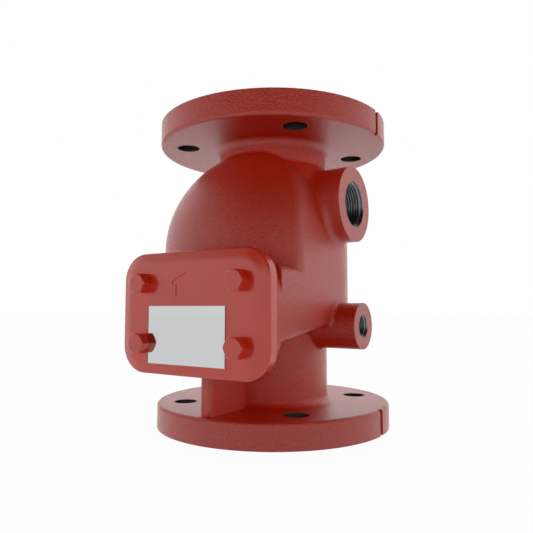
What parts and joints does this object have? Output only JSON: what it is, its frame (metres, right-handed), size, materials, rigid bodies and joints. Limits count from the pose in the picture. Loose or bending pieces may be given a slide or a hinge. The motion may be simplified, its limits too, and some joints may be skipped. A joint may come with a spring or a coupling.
{
  "type": "sprinkler alarm check valve",
  "caption": "Flanged alarm check valve for a wet sprinkler system, with a spring-closed clapper, seat ring, bolted handhole cover and threaded drain and alarm ports.",
  "frame": {"origin": "centre of the lower (inlet) flange's outer face", "axes": "+Z is the direction of flow, the handhole cover faces -Y, both threaded ports face +X"},
  "size_m": [0.2, 0.2226, 0.26],
  "materials": {
    "red_paint": "red paint over sand-cast iron, satin",
    "plate_metal": "plain rolled sheet",
    "gasket_sheet": "cut sheet",
    "bronze": "machined bronze",
    "bushing_bronze": "sintered bronze",
    "seal_rubber": "moulded rubber",
    "stainless_steel": "bright stainless steel"
  },
  "bodies": {
    "root": {"valve_body": "red_paint", "handhole_cover": "red_paint", "cover_bolts": "red_paint", "name_plate": "plate_metal", "cover_gasket": "gasket_sheet", "seat_ring": "bronze", "seat_oring_upper": "seal_rubber", "seat_oring_lower": "seal_rubber", "seat_ring_screws": "stainless_steel", "hinge_pin": "stainless_steel", "pin_clip_left": "stainless_steel", "pin_clip_right": "stainless_steel", "closing_spring": "stainless_steel"},
    "clapper": {"clapper_disc": "bronze", "clapper_facing": "seal_rubber", "facing_retainer": "bronze", "retainer_screws": "stainless_steel", "clapper_arm": "bronze", "arm_bushing_left": "bushing_bronze", "arm_bushing_right": "bushing_bronze", "stud_washer": "stainless_steel", "stud_nut": "stainless_steel", "stud_split_pin": "stainless_steel"}
  },
  "joints": [
    {"name": "clapper_swing", "type": "hinge", "parent": "root", "child": "clapper", "pos_m": [0, 0.045, 0.121], "axis": [-1, 0, 0], "range_deg": [0, 70], "stiffness_Nm_per_rad": 0.1, "springref_deg": -45.84, "deforming": ["closing_spring"]}
  ]
}
